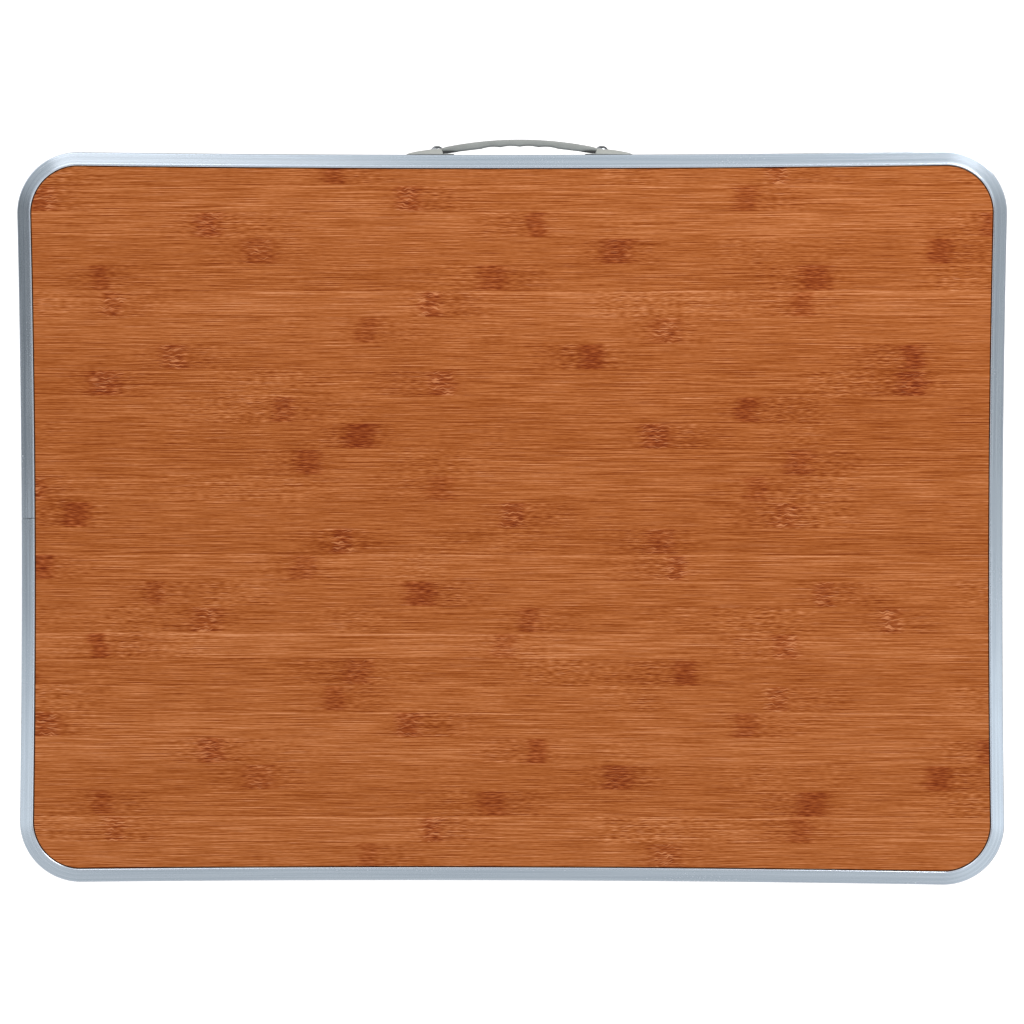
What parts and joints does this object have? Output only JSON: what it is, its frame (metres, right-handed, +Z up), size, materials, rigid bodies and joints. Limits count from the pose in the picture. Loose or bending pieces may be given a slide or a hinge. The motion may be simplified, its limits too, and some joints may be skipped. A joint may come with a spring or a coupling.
{
  "type": "folding side table",
  "caption": "Small rectangular camping table: bamboo-faced board in a bent aluminium rim, with U-shaped tube legs that fold flat, wire stays and a carry handle.",
  "frame": {"origin": "on the floor under the middle of the table's outline, handle included, with the table unfolded and standing", "axes": "+X along the long side of the top, towards the narrower leg frame; +Y across it, towards the carry handle; +Z up"},
  "size_m": [0.6, 0.4532, 0.536],
  "materials": {
    "bamboo_board": "satin printed bamboo laminate on board",
    "rim": "brushed, clear anodised",
    "rail": "mill finish",
    "leg_tube": "satin anodised",
    "wire": "zinc plated",
    "steel": "zinc plated",
    "handle_plastic": "moulded, fine texture",
    "handle_caps": "moulded, semi-matt",
    "black_nylon": "moulded nylon",
    "foot_rubber": "moulded, fine texture"
  },
  "bodies": {
    "tabletop": {"top_board": "bamboo_board", "edge_rim": "rim", "seam_splice": "steel", "cross_rail_left": "rail", "cross_rail_right": "rail", "handle_cap_left": "handle_caps", "handle_cap_right": "handle_caps", "handle_rivet_left": "steel", "handle_rivet_right": "steel", "saddle_left_front": "black_nylon", "saddle_screw_left_front_a": "steel", "saddle_screw_left_front_b": "steel", "rail_rivet_left_front": "steel", "stay_clip_left_front": "black_nylon", "stay_clip_screw_left_front": "steel", "leg_clip_left_front": "black_nylon", "leg_clip_screw_left_front": "steel", "saddle_left_rear": "black_nylon", "saddle_screw_left_rear_a": "steel", "saddle_screw_left_rear_b": "steel", "rail_rivet_left_rear": "steel", "stay_clip_left_rear": "black_nylon", "stay_clip_screw_left_rear": "steel", "leg_clip_left_rear": "black_nylon", "leg_clip_screw_left_rear": "steel", "saddle_right_front": "black_nylon", "saddle_screw_right_front_a": "steel", "saddle_screw_right_front_b": "steel", "rail_rivet_right_front": "steel", "stay_clip_right_front": "black_nylon", "stay_clip_screw_right_front": "steel", "leg_clip_right_front": "black_nylon", "leg_clip_screw_right_front": "steel", "saddle_right_rear": "black_nylon", "saddle_screw_right_rear_a": "steel", "saddle_screw_right_rear_b": "steel", "rail_rivet_right_rear": "steel", "stay_clip_right_rear": "black_nylon", "stay_clip_screw_right_rear": "steel", "leg_clip_right_rear": "black_nylon", "leg_clip_screw_right_rear": "steel"},
    "carry_handle": {"handle_grip": "handle_plastic"},
    "left_front_stay": {"stay_left_front": "wire", "stay_nut_left_front": "wire"},
    "left_rear_stay": {"stay_left_rear": "wire", "stay_nut_left_rear": "wire"},
    "left_legs": {"leg_tube_left": "leg_tube", "foot_left_front": "foot_rubber", "foot_left_rear": "foot_rubber"},
    "right_front_stay": {"stay_right_front": "wire", "stay_nut_right_front": "wire"},
    "right_rear_stay": {"stay_right_rear": "wire", "stay_nut_right_rear": "wire"},
    "right_legs": {"leg_tube_right": "leg_tube", "foot_right_front": "foot_rubber", "foot_right_rear": "foot_rubber"}
  },
  "joints": [
    {"name": "handle_lift", "type": "slide", "parent": "tabletop", "child": "carry_handle", "axis": [0, 1, 0], "range_m": [0, 0.01], "deforming": ["handle_grip"]},
    {"name": "left_fold", "type": "hinge", "parent": "tabletop", "child": "left_legs", "pos_m": [-0.2654, -0.00405, 0.5055], "axis": [0, -1, 0], "range_deg": [0, 90]},
    {"name": "right_fold", "type": "hinge", "parent": "tabletop", "child": "right_legs", "pos_m": [0.2654, -0.00405, 0.5055], "axis": [0, 1, 0], "range_deg": [0, 90]},
    {"name": "left_front_stay_swing", "type": "hinge", "parent": "left_legs", "child": "left_front_stay", "pos_m": [-0.2654, -0.19705, 0.3905], "axis": [0, 1, 0], "range_deg": [0, 125]},
    {"name": "left_rear_stay_swing", "type": "hinge", "parent": "left_legs", "child": "left_rear_stay", "pos_m": [-0.2654, 0.18895, 0.3905], "axis": [0, 1, 0], "range_deg": [0, 125]},
    {"name": "right_front_stay_swing", "type": "hinge", "parent": "right_legs", "child": "right_front_stay", "pos_m": [0.2654, -0.16405, 0.3905], "axis": [0, -1, 0], "range_deg": [0, 125]},
    {"name": "right_rear_stay_swing", "type": "hinge", "parent": "right_legs", "child": "right_rear_stay", "pos_m": [0.2654, 0.15595, 0.3905], "axis": [0, -1, 0], "range_deg": [0, 125]}
  ],
  "couplings": [
    {"joint": "left_front_stay_swing", "follows": "left_fold", "ratio": 1.385},
    {"joint": "left_rear_stay_swing", "follows": "left_fold", "ratio": 1.385},
    {"joint": "right_front_stay_swing", "follows": "right_fold", "ratio": 1.385},
    {"joint": "right_rear_stay_swing", "follows": "right_fold", "ratio": 1.385}
  ]
}
